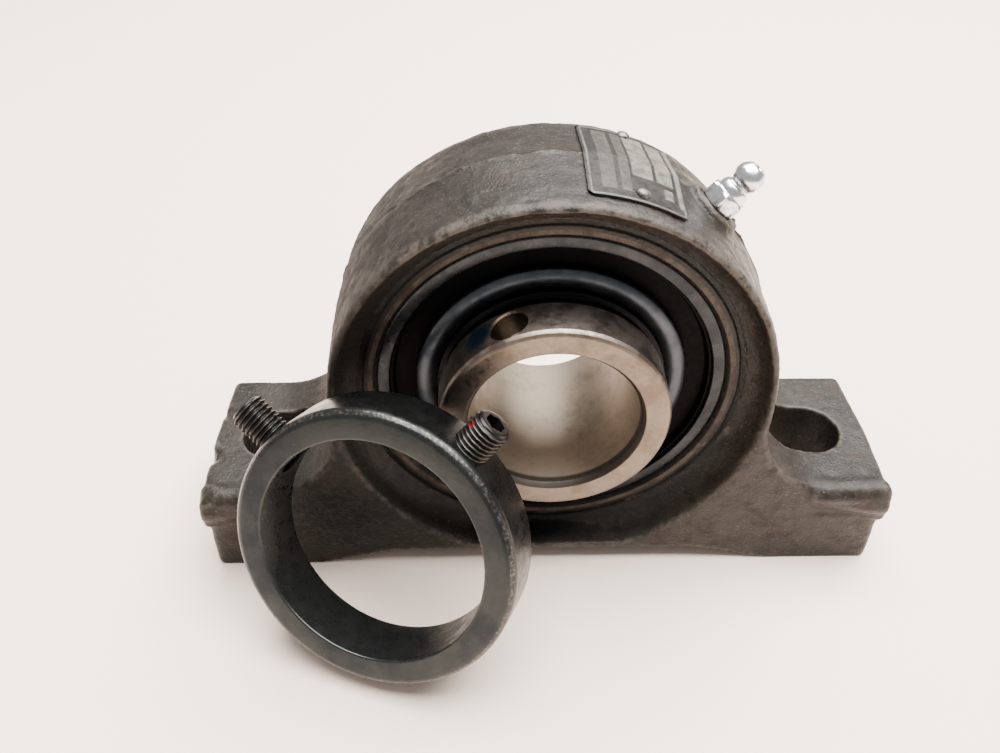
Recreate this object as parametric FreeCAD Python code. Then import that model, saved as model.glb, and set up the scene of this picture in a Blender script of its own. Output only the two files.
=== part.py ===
import FreeCAD, Part
import math
import os

os.makedirs("parts", exist_ok=True)

# Pillow block bearing with a loose locking collar leaning on it, sizes in mm.
# Origin on the base plane under the bore centre. X runs along the base, Y along
# the shaft away from the viewer, Z up.

# The two sizes that the insert is made to: its round outside and its bore. Its section
# between them is drawn for these and follows them.
OUTER_SPHERE_R = 40.0
BORE_R = 18.256
SECTION = (OUTER_SPHERE_R - BORE_R) / 21.744

# Bearing insert
OUTER_HALF_WIDTH = 12.2 * SECTION
OUTER_RECESS_R = BORE_R + 17.184 * SECTION
RING_R = BORE_R + 6.294 * SECTION
RING_FRONT = -24.83 * SECTION
RING_REAR = 18.25 * SECTION
SHOULDER_R = BORE_R + 7.944 * SECTION
FLINGER_SEAT_R = BORE_R + 6.744 * SECTION
BALL_R = 6.35 * SECTION
BALL_COUNT = 9
PITCH_R = BORE_R + 11.744 * SECTION
GROOVE_R = BALL_R + 0.2
SETSCREW_HOLE_R = 4.2 * SECTION
SETSCREW_HOLE_Y = -19.6 * SECTION
SETSCREW_HOLE_ANGLES = (114.0, 204.0)

# Housing casting, built out from the seat
SEAT_CLEARANCE = 0.05
SEAT_R = OUTER_SPHERE_R + SEAT_CLEARANCE
SEAT_HALF_WIDTH = OUTER_HALF_WIDTH + 0.1
BASE_WALL = 9.15
HEAD_WALL = 9.59
SHAFT_HEIGHT = SEAT_R + BASE_WALL
HEAD_R = SEAT_R + HEAD_WALL
HEAD_FACE_R = HEAD_R - 2.14
HEAD_SIDE = HEAD_R - 0.94
HEAD_FACE_SIDE = HEAD_FACE_R + 0.8
FRONT_AT_BASE = 21.1
FRONT_AT_TOP = FRONT_AT_BASE - 2.5
LOFT_DEPTH = FRONT_AT_BASE + 1.3
HALF_LENGTH = HEAD_R + 31.26
END_DRAFT = 0.8
FOOT_TOP = 23.9
FOOT_TOP_FACE = 23.9
WEB_FILLET = SHAFT_HEIGHT - FOOT_TOP - 7.3
CORNER_FILLET = 1.6
EDGE_FILLET = 1.2
ARCH_HEIGHT = 4.6
ARCH_END = HALF_LENGTH - 26.4
ARCH_FLAT = ARCH_END - 18.5
LEDGE_Z = 6.0
SLOT_X = HEAD_R + 13.36
SLOT_HALF_WIDTH = 7.94
SLOT_LENGTH = 22.0
LIP_OUTER_R = SEAT_R + 0.85
LIP_Y = SEAT_HALF_WIDTH + 0.8

# Grease fitting and nameplate
FITTING_ANGLE = 49.0
FEED_Y = 6.4 * SECTION
FITTING_BASE = HEAD_R + 0.8
HEXAGON_FLATS = 7.94
PLATE_ANGLES = (60.6, 84.6)
PLATE_HALF_DEPTH = 14.4
PLATE_THICKNESS = 0.7
RIVET_SPOTS = ((71.9, -11.4), (72.8, 13.0))
RIVET_HEAD_R = 1.5

# Loose collar: the lean it has in the photograph, on the floor and against the housing
COLLAR_LEAN = 0.362
COLLAR_TURN = -0.351
COLLAR_BORE_R = RING_R + 0.17
COLLAR_R = COLLAR_BORE_R + 6.33
COLLAR_WIDTH = 13.5
COLLAR_CHAMFER = 1.5
COLLAR_X = -38.58
COLLAR_TO_FRONT = -RING_FRONT - 22.605
SCREW_R = 3.97
SCREW_HOLE_R = SCREW_R + 0.05
SCREW_LENGTH = 12.7
SCREWS = (("set_screw_left", 146.5, COLLAR_R + 8.75), ("set_screw_right", 56.5, COLLAR_R + 7.25))

V = FreeCAD.Vector
SHAFT = V(0, 0, SHAFT_HEIGHT)
Y_AXIS = V(0, 1, 0)


def save(name, shape):
    """Write one node's solids as a STEP file."""
    shape.exportStep("parts/" + name + ".step")


def ring_profile(points):
    """Turn an (r, y) outline around the shaft axis. A three-number step
    is an arc: radius-y of the middle point comes first, then the end."""
    edges = []
    first = V(points[0][0], points[0][1], SHAFT_HEIGHT)
    last = first
    for step in points[1:]:
        end = V(step[-2], step[-1], SHAFT_HEIGHT)
        if len(step) == 4:
            middle = V(step[0], step[1], SHAFT_HEIGHT)
            edges.append(Part.Arc(last, middle, end).toShape())
        else:
            edges.append(Part.makeLine(last, end))
        last = end
    edges.append(Part.makeLine(last, first))
    face = Part.Face(Part.Wire(edges))
    return face.revolve(SHAFT, Y_AXIS, 360)


def radial(angle):
    """Unit vector square to the shaft at an angle up from +X."""
    a = math.radians(angle)
    return V(math.cos(a), 0, math.sin(a))


def radial_pin(r, inner, outer, angle, y):
    """Round bar along a radial line of the bearing."""
    direction = radial(angle)
    start = SHAFT + direction * inner + V(0, y, 0)
    return Part.makeCylinder(r, outer - inner, start, direction)


def slot(centre_x, half_width, length, z_low, z_high):
    """Upright block with round ends, long along X."""
    reach = length / 2 - half_width
    low = V(centre_x - reach, -half_width, z_low)
    body = Part.makeBox(2 * reach, 2 * half_width, z_high - z_low, low)
    for side in (-1, 1):
        end = V(centre_x + side * reach, 0, z_low)
        body = body.fuse(Part.makeCylinder(half_width, z_high - z_low, end))
    return body.removeSplitter()


def outline(y, head_r, side, half_length, foot_top):
    """Front view of the casting at one depth: round crown, straight sides,
    hollow fillets down to the feet, and ends that run past the base."""
    f = WEB_FILLET
    k = f * (1 - math.sqrt(0.5))
    low = -2.0
    right = [Part.makeLine(V(half_length, y, low), V(half_length, y, foot_top))]
    right.append(Part.makeLine(V(half_length, y, foot_top), V(side + f, y, foot_top)))
    bend = V(side + k, y, foot_top + k)
    right.append(Part.Arc(V(side + f, y, foot_top), bend, V(side, y, foot_top + f)).toShape())
    waist = V(side, y, SHAFT_HEIGHT + head_r - side)
    right.append(Part.makeLine(V(side, y, foot_top + f), waist))
    top = V(0, y, SHAFT_HEIGHT + head_r)
    crown = Part.Arc(waist, top, V(-side, y, waist.z)).toShape()
    left = []
    for edge in reversed(right):
        left.append(edge.mirror(V(0, 0, 0), V(1, 0, 0)))
    floor = Part.makeLine(V(-half_length, y, low), V(half_length, y, low))
    return Part.Wire(Part.__sortEdges__(right + [crown] + left + [floor]))


def foot_bead(side):
    """Thick front top edge of one foot: a round lip over a swelling that
    dies out inwards, both flush with the foot's end."""
    end = HALF_LENGTH - END_DRAFT
    cap = END_DRAFT
    inner = end - 18.3
    lip = Part.makeCylinder(2.4, 18.3, V(inner, -19.2, 21.6), V(1, 0, 0))
    lip = lip.fuse(Part.makeCone(2.4, 1.6, cap, V(end, -19.2, 21.6), V(1, 0, 0)))
    outer = Part.Wire(Part.makeCircle(5.0, V(end, -17.9, 17.3), V(1, 0, 0)))
    tail = Part.Wire(Part.makeCircle(2.2, V(inner - 0.8, -18.3, 20.0), V(1, 0, 0)))
    swelling = Part.makeLoft([tail, outer], True, True)
    swelling = swelling.fuse(Part.makeCone(5.0, 4.2, cap, V(end, -17.9, 17.3), V(1, 0, 0)))
    bead = lip.fuse(swelling)
    return bead if side > 0 else bead.mirror(V(0, 0, 0), V(1, 0, 0))


def housing():
    """One grey-iron casting: head, web, feet, seat and fitting hole."""
    middle = outline(0, HEAD_R, HEAD_SIDE, HALF_LENGTH, FOOT_TOP)
    body = None
    for side in (-1, 1):
        y = side * LOFT_DEPTH
        face = outline(y, HEAD_FACE_R, HEAD_FACE_SIDE, HALF_LENGTH - END_DRAFT, FOOT_TOP_FACE)
        half = Part.makeLoft([middle, face], True, True)
        body = half if body is None else body.fuse(half)
    top = SHAFT_HEIGHT + HEAD_R + 5
    wide = HALF_LENGTH + 20
    lean = (FRONT_AT_BASE - FRONT_AT_TOP) * top / (SHAFT_HEIGHT + 46)
    section = [V(-wide, -FRONT_AT_BASE, 0), V(-wide, FRONT_AT_BASE, 0)]
    section += [V(-wide, FRONT_AT_BASE - lean, top), V(-wide, lean - FRONT_AT_BASE, top)]
    slab = Part.Face(Part.makePolygon(section + section[:1])).extrude(V(2 * wide, 0, 0))
    body = body.common(slab).removeSplitter()

    # Foot corners and the long front and rear edges are a little round, as cast.
    corners = []
    for edge in body.Edges:
        box = edge.BoundBox
        if box.ZMin < 0.01 and box.ZMax > FOOT_TOP_FACE - 1 and box.XMax - box.XMin < 1:
            if abs(box.YMin) > FRONT_AT_BASE - 1.5:
                corners.append(edge)
    body = body.makeFillet(CORNER_FILLET, corners)
    rims = []
    for edge in body.Edges:
        box = edge.BoundBox
        on_face = min(abs(box.YMin), abs(box.YMax)) > FRONT_AT_TOP - 0.6
        if on_face and box.ZMax > FOOT_TOP_FACE - 1 and box.ZMax - box.ZMin > 0.2:
            rims.append(edge)
        elif on_face and box.ZMin > FOOT_TOP_FACE - 1:
            rims.append(edge)
    body = body.makeFillet(EDGE_FILLET, rims)
    for side in (-1, 1):
        body = body.fuse(foot_bead(side))

    # Arch under the middle of the base.
    arch = [V(-ARCH_END, -30, -1), V(-ARCH_END, -30, 0)]
    arch += [V(-ARCH_FLAT, -30, ARCH_HEIGHT), V(ARCH_FLAT, -30, ARCH_HEIGHT)]
    arch += [V(ARCH_END, -30, 0), V(ARCH_END, -30, -1)]
    relief = Part.Face(Part.makePolygon(arch + arch[:1])).extrude(V(0, 60, 0))
    bends = []
    for edge in relief.Edges:
        box = edge.BoundBox
        if abs(box.ZMin - ARCH_HEIGHT) < 0.01 and box.YMax - box.YMin > 50:
            bends.append(edge)
    relief = relief.makeFillet(30.0, bends)
    body = body.cut(relief)

    # Ring-shaped valley round each end of the bore, stopped by a low ledge.
    reach = HEAD_R + 10
    keep = Part.makeBox(2 * reach, 60, 2 * reach, V(-reach, -30, LEDGE_Z))
    out = LIP_OUTER_R
    for side in (-1, 1):
        points = [(out - 11, side * LIP_Y), (out, side * LIP_Y), (out + 0.4, side * (LIP_Y - 0.6))]
        points += [(out + 1.4, side * (LIP_Y - 0.6))]
        points += [(out + 4.3, side * (LIP_Y + 1.8), out + 5.5, side * (LIP_Y + 5.1))]
        points += [(out + 6.7, side * (LIP_Y + 11)), (out - 11, side * (LIP_Y + 11))]
        body = body.cut(ring_profile(points).common(keep))

    # Round seat for the insert with its two mouths, then the loading slots
    # at the back.
    half = SEAT_HALF_WIDTH
    far = FRONT_AT_BASE + 3
    edge_r = math.sqrt(SEAT_R ** 2 - half ** 2)
    mouth_r = edge_r + 0.87
    seat = [(0.0, -far), (mouth_r, -far), (mouth_r, -LIP_Y), (edge_r, -half)]
    seat += [(SEAT_R, 0, edge_r, half), (mouth_r, LIP_Y), (mouth_r, far), (0.0, far)]
    body = body.cut(ring_profile(seat))
    wide = OUTER_HALF_WIDTH + 0.4
    load = Part.makeBox(2 * reach, far, 2 * wide, V(-reach, 0, SHAFT_HEIGHT - wide))
    ring_bar = Part.makeCylinder(SEAT_R + 0.05, far, SHAFT, Y_AXIS)
    body = body.cut(load.common(ring_bar))

    for side in (-1, 1):
        body = body.cut(slot(side * SLOT_X, SLOT_HALF_WIDTH, SLOT_LENGTH, -1, SHAFT_HEIGHT + 10))

    # Boss, tapped hole and feed groove for the grease fitting.
    deep = HEAD_R - 6.24
    boss = radial_pin(6.2, deep + 0.6, FITTING_BASE - 0.1, FITTING_ANGLE, 0)
    body = body.fuse(boss)
    body = body.cut(radial_pin(3.12, deep, HEAD_R + 5, FITTING_ANGLE, 0))
    body = body.cut(radial_pin(1.6, SEAT_R - 2, deep + 0.6, FITTING_ANGLE, 0))
    body = body.cut(radial_pin(1.6, SEAT_R - 2, SEAT_R + 1.15, FITTING_ANGLE, FEED_Y))
    channel = Part.makeBox(3.2, FEED_Y, 3.2, V(-1.6, 0, SEAT_R - 2.05))
    channel.rotate(V(0, 0, 0), V(0, 1, 0), 90 - FITTING_ANGLE)
    channel.translate(SHAFT)
    body = body.cut(channel)

    for angle, y in RIVET_SPOTS:
        body = body.cut(radial_pin(1.0, HEAD_R - 4.6, HEAD_R + 2.4, angle, y))
    return body.removeSplitter()


def crown_circle(y):
    """Radius of the drafted crown at one depth, and its centre's height."""
    share = abs(y) / LOFT_DEPTH
    r = HEAD_SIDE + (HEAD_FACE_SIDE - HEAD_SIDE) * share
    top = HEAD_R + (HEAD_FACE_R - HEAD_R) * share
    return r, SHAFT_HEIGHT + top - r


def crown_reach(angle, y):
    """Distance of the crown from the shaft line at one angle and depth."""
    r, z = crown_circle(y)
    a = math.radians(angle)
    up = z - SHAFT_HEIGHT
    return up * math.sin(a) + math.sqrt(r ** 2 - (up * math.cos(a)) ** 2)


def crown_drum(lift):
    """The crown's drafted drum, raised by a lift, as deep as the nameplate."""
    halves = []
    for y in (-PLATE_HALF_DEPTH, PLATE_HALF_DEPTH):
        rings = []
        for place in (0, y):
            r, z = crown_circle(place)
            rings.append(Part.Wire(Part.makeCircle(r + lift, V(0, place, z), Y_AXIS)))
        halves.append(Part.makeLoft(rings, True, True))
    return halves[0].fuse(halves[1])


def nameplate():
    """Blank curved plate lying on the crown, both sides of the parting line."""
    d = PLATE_HALF_DEPTH
    low, high = PLATE_ANGLES
    far = 2 * HEAD_R
    corners = [V(0, -d, 0), radial(low) * far + V(0, -d, 0), radial(high) * far + V(0, -d, 0)]
    wedge = Part.Face(Part.makePolygon(corners + corners[:1])).extrude(V(0, 2 * d, 0))
    wedge.translate(SHAFT)
    plate = crown_drum(PLATE_THICKNESS).cut(crown_drum(0.02)).common(wedge)
    corners = []
    for edge in plate.Edges:
        if edge.Length < PLATE_THICKNESS + 0.05 and abs(abs(edge.CenterOfMass.y) - d) < 0.01:
            corners.append(edge)
    return plate.makeFillet(1.6, corners).cut(nameplate_rivets())


def nameplate_rivets():
    """Two round-head drive screws that hold the plate."""
    rivets = []
    for angle, y in RIVET_SPOTS:
        seat = crown_reach(angle, y) + PLATE_THICKNESS + 0.2
        shank = radial_pin(1.0, HEAD_R - 4.4, seat + 0.3, angle, y)
        centre = SHAFT + radial(angle) * (seat - 0.9) + V(0, y, 0)
        dome = Part.makeSphere(RIVET_HEAD_R + 0.25, centre)
        dome = dome.common(radial_pin(RIVET_HEAD_R, seat - 0.12, seat + 3, angle, y))
        rivets.append(shank.fuse(dome).removeSplitter())
    return Part.makeCompound(rivets)


def on_fitting(shape):
    """Stand a shape built along +Z on the fitting's slanted axis."""
    shape.rotate(V(0, 0, 0), V(0, 1, 0), 90 - FITTING_ANGLE)
    shape.translate(SHAFT)
    return shape


def spin_z(points):
    """Turn an (r, z) outline around Z, with the same arc steps as above."""
    edges = []
    first = V(points[0][0], 0, points[0][1])
    last = first
    for step in points[1:]:
        end = V(step[-2], 0, step[-1])
        if len(step) == 4:
            edges.append(Part.Arc(last, V(step[0], 0, step[1]), end).toShape())
        else:
            edges.append(Part.makeLine(last, end))
        last = end
    edges.append(Part.makeLine(last, first))
    return Part.Face(Part.Wire(edges)).revolve(V(0, 0, 0), V(0, 0, 1), 360)


def grease_fitting():
    """Straight fitting: tapped shank, hexagon, round shoulder, neck and ball head."""
    z = FITTING_BASE
    corners = []
    for i in range(7):
        a = math.radians(60 * i + 30)
        r = HEXAGON_FLATS / math.sqrt(3)
        corners.append(V(r * math.cos(a), r * math.sin(a), z))
    hexagon = Part.Face(Part.makePolygon(corners)).extrude(V(0, 0, 3.5))
    bevel = [(0.0, z), (4.1, z), (4.7, z + 0.5), (4.7, z + 2.9), (3.9, z + 3.5), (0.0, z + 3.5)]
    hexagon = hexagon.common(spin_z(bevel))
    stem = [(1.4, z - 6.6), (2.9, z - 6.6), (3.1, z - 6.0), (3.1, z + 0.2), (3.3, z + 3.4)]
    stem += [(3.25, z + 4.4), (2.9, z + 5.2), (2.35, z + 5.6), (2.35, z + 5.9)]
    stem += [(3.25, z + 7.9, 2.6, z + 9.8), (1.9, z + 10.6), (1.5, z + 10.7)]
    stem += [(0.75, z + 10.2), (0.75, z + 9.7), (1.4, z + 8.8)]
    body = hexagon.fuse(spin_z(stem))
    body = body.cut(Part.makeCylinder(1.4, 15.4, V(0, 0, z - 6.6)))
    crimp = Part.makeCylinder(1.4, 0.5, V(0, 0, z - 6.6))
    crimp = crimp.cut(Part.makeCylinder(0.6, 0.5, V(0, 0, z - 6.6)))
    body = body.fuse(crimp).removeSplitter()
    ball = Part.makeSphere(1.2, V(0, 0, z + 8.5))
    low = z - 5.1
    helix = Part.makeHelix(0.95, 12.2, 0.95)
    helix.translate(V(0, 0, low))
    start = Part.Wire(Part.makeCircle(0.14, V(0.95, 0, low), Y_AXIS))
    spring = Part.Wire(helix.Edges).makePipeShell([start], True, True)
    return on_fitting(body), on_fitting(ball), on_fitting(spring)


def section_profile(points):
    """Turn an outline of the insert's section, drawn for its standard sizes."""
    k = SECTION
    moved = []
    for step in points:
        pairs = zip(step[0::2], step[1::2])
        moved.append(tuple(v for r, y in pairs for v in (BORE_R + (r - 18.256) * k, y * k)))
    return ring_profile(moved)


def outer_ring():
    """Outer ring with a round outside, ball track and seal recesses."""
    w = OUTER_HALF_WIDTH
    k = SECTION
    land = BORE_R + 15.744 * k
    face_r = math.sqrt(OUTER_SPHERE_R ** 2 - w ** 2)
    half = math.sqrt(GROOVE_R ** 2 - (land - PITCH_R + 0.17) ** 2)
    points = [(OUTER_RECESS_R, -w), (face_r, -w), (OUTER_SPHERE_R, 0, face_r, w)]
    points += [(OUTER_RECESS_R, w), (OUTER_RECESS_R, 8 * k), (land, 8 * k), (land, half)]
    points += [(PITCH_R - 0.17 + GROOVE_R, 0, land, -half), (land, -8 * k), (OUTER_RECESS_R, -8 * k)]
    ring = ring_profile(points)
    low = OUTER_SPHERE_R - 0.8
    feed = [(low, FEED_Y - 1), (low + 1.8, FEED_Y - 1), (low + 1.8, FEED_Y + 1), (low, FEED_Y + 1)]
    ring = ring.cut(ring_profile(feed))
    for angle in (FITTING_ANGLE, FITTING_ANGLE + 180):
        ring = ring.cut(radial_pin(1.0, land - 1, OUTER_SPHERE_R + 1, angle, FEED_Y))
    return ring


def inner_ring():
    """Inner ring with a long front end for the collar and screw holes."""
    k = SECTION
    f = RING_FRONT
    b = RING_REAR
    half = math.sqrt(GROOVE_R ** 2 - (PITCH_R + 0.17 - SHOULDER_R) ** 2)
    points = [(BORE_R, f + 0.8), (BORE_R + 0.8, f), (RING_R - 0.6, f), (RING_R, f + 0.6)]
    points += [(RING_R, -14.6 * k), (RING_R - 0.65 * k, -14.3 * k), (RING_R - 0.65 * k, -12.2 * k)]
    points += [(FLINGER_SEAT_R, -11.9 * k), (FLINGER_SEAT_R, -9.2 * k), (SHOULDER_R, -9.2 * k)]
    points += [(SHOULDER_R, -half), (PITCH_R + 0.17 - GROOVE_R, 0, SHOULDER_R, half)]
    points += [(SHOULDER_R, 9.2 * k), (FLINGER_SEAT_R, 9.2 * k), (FLINGER_SEAT_R, 11.9 * k)]
    points += [(RING_R, 12.2 * k), (RING_R, b - 0.6), (RING_R - 0.6, b)]
    points += [(BORE_R + 0.8, b), (BORE_R, b - 0.8)]
    ring = ring_profile(points)
    for angle in SETSCREW_HOLE_ANGLES:
        hole = radial_pin(SETSCREW_HOLE_R, BORE_R / 2, RING_R + 5, angle, SETSCREW_HOLE_Y)
        ring = ring.cut(hole)
    return ring


def ball_centre(i):
    """Place of one ball on the pitch circle."""
    return SHAFT + radial(90 + 360 * i / BALL_COUNT) * PITCH_R


def cage():
    """Two pressed halves with ball pockets, and the rivets between them."""
    k = SECTION
    low = PITCH_R - 2.4 * k
    high = PITCH_R + 2.4 * k
    deep = BALL_R + 0.95
    band = ring_profile([(low, -deep), (high, -deep), (high, deep), (low, deep)])
    cups = ring_profile([(low, -0.9), (high, -0.9), (high, 0.9), (low, 0.9)])
    for i in range(BALL_COUNT):
        cups = cups.fuse(Part.makeSphere(BALL_R + 0.9, ball_centre(i)).common(band))
    for i in range(BALL_COUNT):
        cups = cups.cut(Part.makeSphere(BALL_R + 0.1, ball_centre(i)))
    rivets = []
    for i in range(BALL_COUNT):
        spot = SHAFT + radial(90 + 360 * (i + 0.5) / BALL_COUNT) * PITCH_R
        shank = Part.makeCylinder(0.9, 1.8, spot + V(0, -0.9, 0), Y_AXIS)
        cups = cups.cut(shank)
        rivet = shank.fuse(Part.makeCylinder(1.5, 0.6, spot + V(0, -1.5, 0), Y_AXIS))
        rivet = rivet.fuse(Part.makeCylinder(1.5, 0.6, spot + V(0, 0.9, 0), Y_AXIS))
        rivets.append(rivet.removeSplitter())
    wide = 3 * OUTER_SPHERE_R
    low = V(-wide / 2, -wide, 0)
    front = cups.common(Part.makeBox(wide, wide, wide, low))
    rear = cups.common(Part.makeBox(wide, wide, wide, low + V(0, wide, 0)))
    return front, rear, Part.makeCompound(rivets)


def seal(side):
    """Steel seal shell, its rubber lip and the flinger in front of it."""
    s = side
    shell = [(35.44, s * 8.0), (35.44, s * 11.2), (34.7, s * 11.2)]
    shell += [(34.7, s * 8.8), (27.6, s * 8.8), (27.6, s * 8.0)]
    lip = [(26.25, s * 8.2), (26.25, s * 8.7), (27.6, s * 9.0), (28.6, s * 9.0)]
    lip += [(28.6, s * 8.8), (27.6, s * 8.8), (27.6, s * 8.0)]
    flinger = [(25.0, s * 9.2), (25.0, s * 10.3), (25.7, s * 10.3)]
    flinger += [(27.7, s * 11.5, 29.6, s * 10.7), (29.6, s * 9.6), (29.2, s * 9.6)]
    flinger += [(27.6, s * 10.5, 26.1, s * 9.2)]
    return section_profile(shell), section_profile(lip), section_profile(flinger)


def collar_centre():
    """Place of the front face's centre: the rim rests on the floor and the back
    of the collar leans towards the housing's front."""
    lean = COLLAR_LEAN
    r = COLLAR_R
    w = COLLAR_WIDTH
    c = COLLAR_CHAMFER
    low = max((r - c) * math.cos(lean) + w * math.sin(lean), r * math.cos(lean) + (w - c) * math.sin(lean))
    back = (w * math.cos(lean) + r * math.sin(lean)) * math.cos(COLLAR_TURN)
    return V(COLLAR_X, -FRONT_AT_BASE - COLLAR_TO_FRONT - back, low + 0.02)


def collar_frame():
    """Placement that carries a collar built round Z into its lean."""
    lean = COLLAR_LEAN
    turn = COLLAR_TURN
    normal = V(math.cos(lean) * math.sin(turn), -math.cos(lean) * math.cos(turn), math.sin(lean))
    across = V(math.cos(turn), math.sin(turn), 0)
    up = normal.cross(across)
    centre = collar_centre()
    matrix = FreeCAD.Matrix()
    matrix.A11, matrix.A21, matrix.A31 = across.x, across.y, across.z
    matrix.A12, matrix.A22, matrix.A32 = up.x, up.y, up.z
    matrix.A13, matrix.A23, matrix.A33 = normal.x, normal.y, normal.z
    matrix.A14, matrix.A24, matrix.A34 = centre.x, centre.y, centre.z
    return FreeCAD.Placement(matrix)


def collar():
    """Locking collar with two tapped holes square to each other."""
    r = COLLAR_R
    w = COLLAR_WIDTH
    b = COLLAR_BORE_R
    c = COLLAR_CHAMFER
    points = [(b, -0.3), (b + 0.3, 0), (r - c, 0), (r, -c), (r, c - w), (r - c, -w)]
    points += [(b + 0.3, -w), (b, 0.3 - w)]
    ring = spin_z(points)
    for name, angle, tip in SCREWS:
        a = math.radians(angle)
        way = V(math.cos(a), math.sin(a), 0)
        start = way * (b - 5) + V(0, 0, -w / 2)
        ring = ring.cut(Part.makeCylinder(SCREW_HOLE_R, r, start, way))
    ring.Placement = collar_frame()
    return ring


def set_screw(angle, tip):
    """Socket set screw with a cup point, its socket end outwards."""
    n = SCREW_LENGTH
    r = SCREW_R
    points = [(0, 0.9), (1.6, 0), (2.4, 0), (r, 1.5), (r, n - 0.8), (r - 0.8, n), (0, n)]
    screw = spin_z(points)
    corners = []
    for i in range(7):
        a = math.radians(60 * i)
        corners.append(V(2.29 * math.cos(a), 2.29 * math.sin(a), n - 4.6))
    socket = Part.Face(Part.makePolygon(corners)).extrude(V(0, 0, 6))
    screw = screw.cut(socket)
    screw.translate(V(0, 0, tip - n))
    screw.rotate(V(0, 0, 0), V(0, 1, 0), 90)
    screw.rotate(V(0, 0, 0), V(0, 0, 1), angle)
    screw.translate(V(0, 0, -COLLAR_WIDTH / 2))
    screw.Placement = collar_frame().multiply(screw.Placement)
    return screw


save("housing", housing())
save("nameplate", nameplate())
save("nameplate_rivets", nameplate_rivets())

fitting_body, fitting_ball, fitting_spring = grease_fitting()
save("grease_fitting_body", fitting_body)
save("grease_fitting_ball", fitting_ball)
save("grease_fitting_spring", fitting_spring)

save("outer_ring", outer_ring())
save("inner_ring", inner_ring())
front_half, rear_half, cage_rivets = cage()
save("cage_front_half", front_half)
save("cage_rear_half", rear_half)
save("cage_rivets", cage_rivets)
for i in range(BALL_COUNT):
    save("ball_" + str(i + 1), Part.makeSphere(BALL_R, ball_centre(i)))

for end, side in (("front", -1), ("rear", 1)):
    shell, lip, flinger = seal(side)
    save(end + "_seal_shell", shell)
    save(end + "_seal_lip", lip)
    save(end + "_flinger", flinger)

save("collar", collar())
for name, angle, tip in SCREWS:
    save(name, set_screw(angle, tip))
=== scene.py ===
from math import atan2, cos, hypot, pi, radians, sin, sqrt

import bmesh
import bpy
from mathutils import Matrix, Vector, noise


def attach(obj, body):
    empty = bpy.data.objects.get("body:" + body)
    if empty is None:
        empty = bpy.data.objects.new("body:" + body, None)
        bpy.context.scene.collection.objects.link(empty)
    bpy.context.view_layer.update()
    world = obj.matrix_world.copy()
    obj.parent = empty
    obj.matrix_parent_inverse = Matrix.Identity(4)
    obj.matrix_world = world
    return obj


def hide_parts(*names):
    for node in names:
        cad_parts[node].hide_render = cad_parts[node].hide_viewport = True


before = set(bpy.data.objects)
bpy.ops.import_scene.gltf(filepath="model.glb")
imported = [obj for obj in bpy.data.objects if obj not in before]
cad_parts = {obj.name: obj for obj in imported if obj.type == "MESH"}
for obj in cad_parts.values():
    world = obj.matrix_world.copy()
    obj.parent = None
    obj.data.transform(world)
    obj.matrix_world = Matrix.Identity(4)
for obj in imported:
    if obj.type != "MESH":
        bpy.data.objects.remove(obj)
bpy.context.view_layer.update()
bpy.ops.object.select_all(action="DESELECT")

# Camera. The photograph looks down on the front of the block from close by,
# a little left of the middle.
bpy.ops.object.camera_add(
    location=(-0.01551, -0.16023, 0.17685),
    rotation=(radians(49.897), radians(-0.486), radians(-1.24)),
)
camera = bpy.context.object
camera.data.lens = 32.02
camera.data.clip_start = 0.01
bpy.context.scene.camera = camera


# Housing. One grey-iron casting, sand-cast in two halves that meet at the middle of
# its depth, then bored for the insert. Old oil and rust have browned it. Its body is
# the solid's own form given a cast skin, and the bored lips are turned and set in it.
shaft_height = 0.0492
shaft_line = Vector((0, 0, shaft_height))
seat_reach = 0.0405
casting_grain = 0.00058
seam_bends_at = -0.0299
seam_slope = 0.59
lip_inner = 0.03898
lip_outer = 0.0409
lip_face = 0.0131


def pick(test):
    """Select the points of the piece in edit mode whose place passes a test."""
    mesh = bmesh.from_edit_mesh(bpy.context.object.data)
    bpy.ops.mesh.select_all(action="DESELECT")
    for vert in mesh.verts:
        vert.select = test(vert.co)
    mesh.select_flush(True)
    bmesh.update_edit_mesh(bpy.context.object.data)


def apply_all(piece):
    """Apply the piece's modifiers in their order."""
    bpy.context.view_layer.objects.active = piece
    for modifier in list(piece.modifiers):
        bpy.ops.object.modifier_apply(modifier=modifier.name)


def only(piece):
    """Make the piece the one that the next step works on."""
    bpy.ops.object.select_all(action="DESELECT")
    piece.select_set(True)
    bpy.context.view_layer.objects.active = piece


def turned(name, outline, segments=192):
    """Turn an outline of (radius, height) on the Z axis, as on a lathe: a ring is
    drawn out loop by loop, and its last loop closes on its first."""
    radius, height = outline[0]
    bpy.ops.mesh.primitive_circle_add(
        vertices=segments, radius=radius, location=(0, 0, 0), enter_editmode=True
    )
    bpy.ops.transform.translate(value=(0, 0, height))
    for r, h in outline[1:] + outline[:1]:
        bpy.ops.mesh.extrude_region_move(TRANSFORM_OT_translate={"value": (0, 0, h - height)})
        bpy.ops.transform.resize(value=(r / radius, r / radius, 1), center_override=(0, 0, h))
        radius, height = r, h
    bpy.ops.mesh.select_all(action="SELECT")
    bpy.ops.mesh.remove_doubles(threshold=0.000002)
    bpy.ops.mesh.normals_make_consistent(inside=False)
    bpy.ops.object.mode_set(mode="OBJECT")
    piece = bpy.context.object
    piece.name = name
    return piece


def soften(piece, width, angle=25):
    """Break the sharp edges with a small round."""
    edge = piece.modifiers.new("broken_edges", "BEVEL")
    edge.width = width
    edge.segments = 3
    edge.limit_method = "ANGLE"
    edge.angle_limit = radians(angle)
    apply_all(piece)


def stand(piece, place):
    """Carry the piece to its place, and leave that place in its mesh."""
    piece.matrix_world = place
    only(piece)
    bpy.ops.object.transform_apply(location=True, rotation=True, scale=True)


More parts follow.
